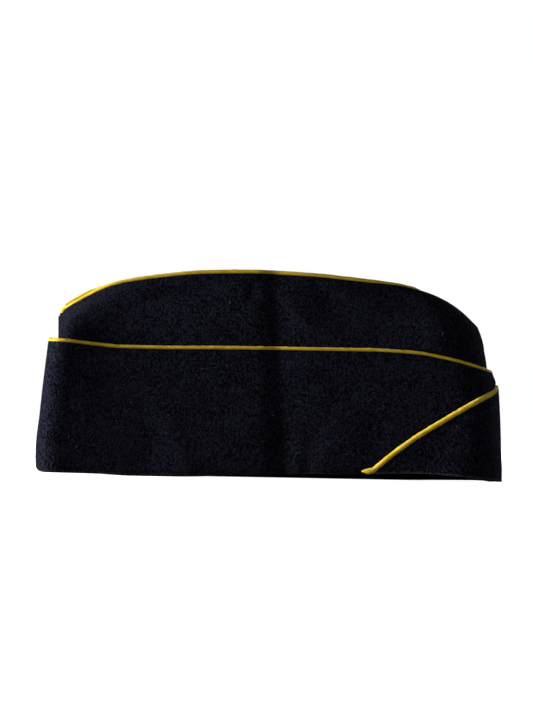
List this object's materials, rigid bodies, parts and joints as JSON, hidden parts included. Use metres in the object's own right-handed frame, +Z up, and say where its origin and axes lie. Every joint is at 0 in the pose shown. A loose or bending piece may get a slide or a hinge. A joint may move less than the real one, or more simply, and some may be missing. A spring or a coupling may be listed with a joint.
{
  "type": "garrison cap",
  "caption": "Flat folding cap of dark wool with gold piping, a folded-in top between two ridges and a turned-up curtain that wraps over the front.",
  "frame": {"origin": "on the surface that the cap stands on, under the middle of its bounding box", "axes": "+X towards the front of the cap, +Y towards the wearer's left, +Z up"},
  "size_m": [0.2862, 0.0637, 0.128],
  "materials": {
    "wool_cloth": "dark navy milled wool, slightly fuzzy",
    "gold_piping": "golden yellow ribbed piping"
  },
  "bodies": {
    "root": {"side_panel_right": "wool_cloth", "side_panel_left": "wool_cloth", "top_gusset": "wool_cloth", "curtain_right": "wool_cloth", "curtain_left": "wool_cloth", "ridge_piping_right": "gold_piping", "ridge_piping_left": "gold_piping", "curtain_piping_right": "gold_piping", "curtain_piping_left": "gold_piping"}
  },
  "joints": []
}
